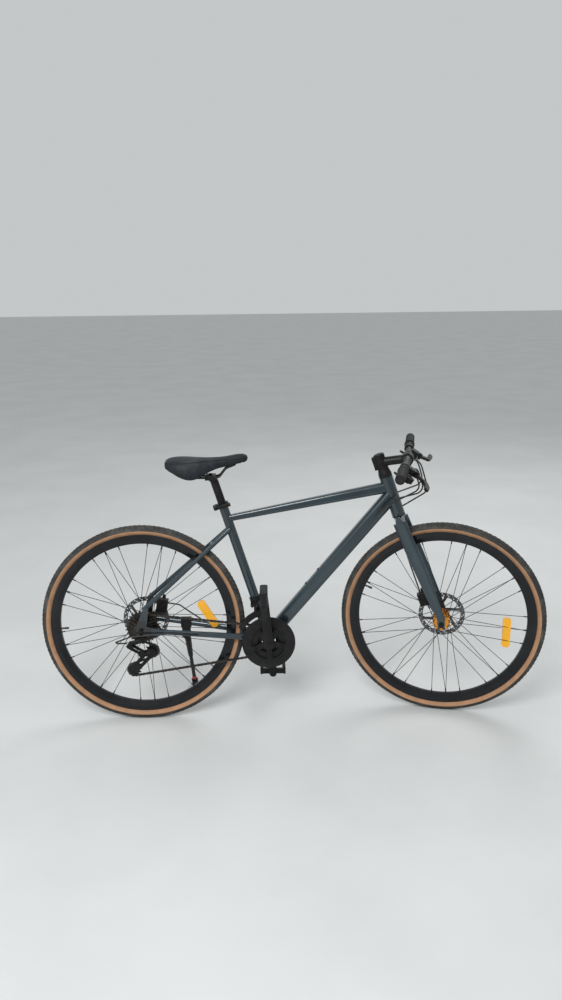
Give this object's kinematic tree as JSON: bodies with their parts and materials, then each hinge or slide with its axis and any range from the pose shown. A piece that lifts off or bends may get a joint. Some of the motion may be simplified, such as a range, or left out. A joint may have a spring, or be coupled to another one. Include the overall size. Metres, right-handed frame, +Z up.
{
  "type": "bicycle",
  "caption": "Flat-bar hybrid bicycle leaning on its side stand, with disc brakes, derailleur gears, chain guard, padded saddle and tan-wall tyres.",
  "frame": {"origin": "on the ground, under the middle of the bounding box", "axes": "+X forward, +Y to the rider's left, +Z up; the drivetrain is on the -Y side"},
  "size_m": [1.7221, 0.6394, 0.9372],
  "materials": {
    "frame_paint": "satin slate blue metallic paint",
    "black_metal": "satin black anodised or painted",
    "tyre_rubber": "black tread with tan sidewalls",
    "bright_steel": "bright zinc plated steel",
    "orange_metal": "orange anodised",
    "orange_lens": "clear orange prismatic lens",
    "black_rubber": "matt black",
    "black_plastic": "matt black moulded",
    "saddle_skin": "soft black synthetic leather"
  },
  "bodies": {
    "frame": {"main_frame": "frame_paint", "rear_triangle": "frame_paint", "headset_bearings": "black_metal", "bracket_bearings": "bright_steel", "seat_clamp": "black_metal", "rear_axle": "bright_steel", "rear_caliper": "black_metal", "stand_bracket": "black_metal", "front_derailleur_bracket": "black_metal", "derailleur_knuckle": "black_metal", "frame_cables": "black_rubber", "chain": "bright_steel"},
    "front_end": {"fork": "frame_paint", "stem": "black_metal", "stem_faceplate": "black_metal", "handlebar": "black_metal", "grips": "black_rubber", "brake_brackets": "black_metal", "shifter_pods": "black_plastic", "front_axle": "bright_steel", "front_caliper": "black_metal", "front_brake_cable": "black_rubber"},
    "front_wheel": {"front_tyre": "tyre_rubber", "front_rim": "black_metal", "front_spokes": "black_metal", "front_hub": "orange_metal", "front_rotor": "bright_steel", "front_reflector": "orange_lens"},
    "rear_wheel": {"rear_tyre": "tyre_rubber", "rear_rim": "black_metal", "rear_spokes": "black_metal", "rear_hub": "orange_metal", "rear_rotor": "bright_steel", "rear_reflector": "orange_lens"},
    "cassette": {"cassette": "bright_steel"},
    "crank": {"crank_spindle": "bright_steel", "right_crank_arm": "black_metal", "left_crank_arm": "black_metal", "chainrings": "bright_steel", "chain_guard": "black_plastic"},
    "right_pedal": {"right_pedal": "black_plastic"},
    "left_pedal": {"left_pedal": "black_plastic"},
    "right_brake_lever": {"right_brake_lever": "black_metal"},
    "left_brake_lever": {"left_brake_lever": "black_metal"},
    "right_shift_lever": {"right_shift_lever": "black_plastic"},
    "left_shift_lever": {"left_shift_lever": "black_plastic"},
    "front_caliper_arm": {"front_caliper_arm": "black_metal"},
    "rear_caliper_arm": {"rear_caliper_arm": "black_metal"},
    "stand_leg": {"stand_leg": "black_metal"},
    "seat": {"seatpost": "black_metal", "saddle_rails": "black_metal", "saddle_cover": "saddle_skin", "saddle_base": "black_plastic"},
    "seat_clamp_lever": {"seat_clamp_lever": "black_metal"},
    "derailleur_link": {"derailleur_link": "black_metal"},
    "derailleur_body": {"derailleur_body": "black_metal"},
    "derailleur_cage": {"derailleur_cage": "black_metal"},
    "guide_pulley": {"guide_pulley": "black_plastic"},
    "tension_pulley": {"tension_pulley": "black_plastic"},
    "front_derailleur": {"front_derailleur_cage": "black_metal"}
  },
  "joints": [
    {"name": "steering", "type": "hinge", "parent": "frame", "child": "front_end", "pos_m": [0.49633, -0.0257, 0.3403], "axis": [-0.3263, 0.0742, 0.9424], "range_deg": [-46.5, 73.5], "deforming": ["frame_cables"]},
    {"name": "front_wheel_spin", "type": "hinge", "parent": "front_end", "child": "front_wheel", "pos_m": [0.52023, -0.03111, 0.349], "axis": [0.2207, 0.9753, -0.0004], "continuous": true},
    {"name": "rear_wheel_spin", "type": "hinge", "parent": "frame", "child": "rear_wheel", "pos_m": [-0.51209, -0.02504, 0.34798], "axis": [0.0001, 0.9969, -0.0785], "continuous": true},
    {"name": "crank_spin", "type": "hinge", "parent": "frame", "child": "crank", "pos_m": [-0.08155, -0.02935, 0.29347], "axis": [0.0001, 0.9969, -0.0785], "continuous": true, "deforming": ["chain"]},
    {"name": "cassette_spin", "type": "hinge", "parent": "frame", "child": "cassette", "pos_m": [-0.51209, -0.02504, 0.34798], "axis": [0.0001, 0.9969, -0.0785], "continuous": true},
    {"name": "right_pedal_spin", "type": "hinge", "parent": "crank", "child": "right_pedal", "pos_m": [-0.09501, -0.01606, 0.46242], "axis": [0.0001, 0.9969, -0.0785], "continuous": true},
    {"name": "left_pedal_spin", "type": "hinge", "parent": "crank", "child": "left_pedal", "pos_m": [-0.06808, -0.04265, 0.12453], "axis": [0.0001, 0.9969, -0.0785], "continuous": true},
    {"name": "right_brake_pull", "type": "hinge", "parent": "front_end", "child": "right_brake_lever", "pos_m": [0.39179, -0.13923, 0.89361], "axis": [-0.5262, 0.1055, -0.8438], "range_deg": [0, 22], "stiffness_Nm_per_rad": 0.8, "springref_deg": -17.19},
    {"name": "left_brake_pull", "type": "hinge", "parent": "front_end", "child": "left_brake_lever", "pos_m": [0.45094, 0.12216, 0.89352], "axis": [0.5205, -0.1308, 0.8438], "range_deg": [0, 22], "stiffness_Nm_per_rad": 0.8, "springref_deg": -17.19},
    {"name": "right_shift_push", "type": "hinge", "parent": "front_end", "child": "right_shift_lever", "pos_m": [0.36028, -0.17414, 0.88994], "axis": [-0.5262, 0.1055, -0.8438], "range_deg": [0, 30], "stiffness_Nm_per_rad": 0.3, "springref_deg": -17.19},
    {"name": "left_shift_push", "type": "hinge", "parent": "front_end", "child": "left_shift_lever", "pos_m": [0.43753, 0.16723, 0.88981], "axis": [0.5205, -0.1308, 0.8438], "range_deg": [0, 30], "stiffness_Nm_per_rad": 0.3, "springref_deg": -17.19},
    {"name": "front_caliper_pull", "type": "hinge", "parent": "front_end", "child": "front_caliper_arm", "pos_m": [0.46798, 0.02124, 0.40239], "axis": [-0.2207, -0.9753, 0.0004], "range_deg": [0, 18]},
    {"name": "rear_caliper_pull", "type": "hinge", "parent": "frame", "child": "rear_caliper_arm", "pos_m": [-0.45412, 0.03057, 0.3918], "axis": [0.0001, 0.9969, -0.0785], "range_deg": [0, 18]},
    {"name": "stand_fold", "type": "hinge", "parent": "frame", "child": "stand_leg", "pos_m": [-0.37204, 0.0359, 0.2811], "axis": [-0.0002, 0.9717, 0.2361], "range_deg": [0, 95]},
    {"name": "seat_height", "type": "slide", "parent": "frame", "child": "seat", "axis": [-0.2998, 0.0749, 0.9511], "range_m": [-0.06, 0.06]},
    {"name": "seat_clamp_open", "type": "hinge", "parent": "frame", "child": "seat_clamp_lever", "pos_m": [-0.25183, -0.018, 0.75622], "axis": [0.2998, -0.0749, -0.9511], "range_deg": [0, 150]},
    {"name": "derailleur_swing", "type": "hinge", "parent": "frame", "child": "derailleur_link", "pos_m": [-0.55206, -0.10772, 0.3043], "axis": [0.6054, 0.0624, 0.7934], "range_deg": [-27, 5], "deforming": ["chain"]},
    {"name": "derailleur_level", "type": "hinge", "parent": "derailleur_link", "child": "derailleur_body", "pos_m": [-0.51003, -0.09727, 0.27142], "axis": [0.6054, 0.0624, 0.7934], "range_deg": [-5, 27]},
    {"name": "cage_tension", "type": "hinge", "parent": "derailleur_body", "child": "derailleur_cage", "pos_m": [-0.48203, -0.03163, 0.26426], "axis": [0.0001, 0.9969, -0.0785], "range_deg": [-30, 25], "stiffness_Nm_per_rad": 4, "deforming": ["chain"]},
    {"name": "guide_pulley_spin", "type": "hinge", "parent": "derailleur_cage", "child": "guide_pulley", "pos_m": [-0.48203, -0.03163, 0.26426], "axis": [0.0001, 0.9969, -0.0785], "continuous": true},
    {"name": "tension_pulley_spin", "type": "hinge", "parent": "derailleur_cage", "child": "tension_pulley", "pos_m": [-0.54566, -0.03695, 0.19665], "axis": [0.0001, 0.9969, -0.0785], "continuous": true},
    {"name": "front_derailleur_shift", "type": "slide", "parent": "frame", "child": "front_derailleur", "axis": [-0.0001, -0.9969, 0.0785], "range_m": [0, 0.016]}
  ],
  "couplings": [
    {"joint": "cassette_spin", "follows": "crank_spin", "ratio": 1},
    {"joint": "guide_pulley_spin", "follows": "crank_spin", "ratio": -2.1818},
    {"joint": "tension_pulley_spin", "follows": "crank_spin", "ratio": 2.1818},
    {"joint": "rear_caliper_pull", "follows": "right_brake_pull", "ratio": 0.8},
    {"joint": "front_caliper_pull", "follows": "left_brake_pull", "ratio": 0.8},
    {"joint": "derailleur_level", "follows": "derailleur_swing", "ratio": -1}
  ]
}
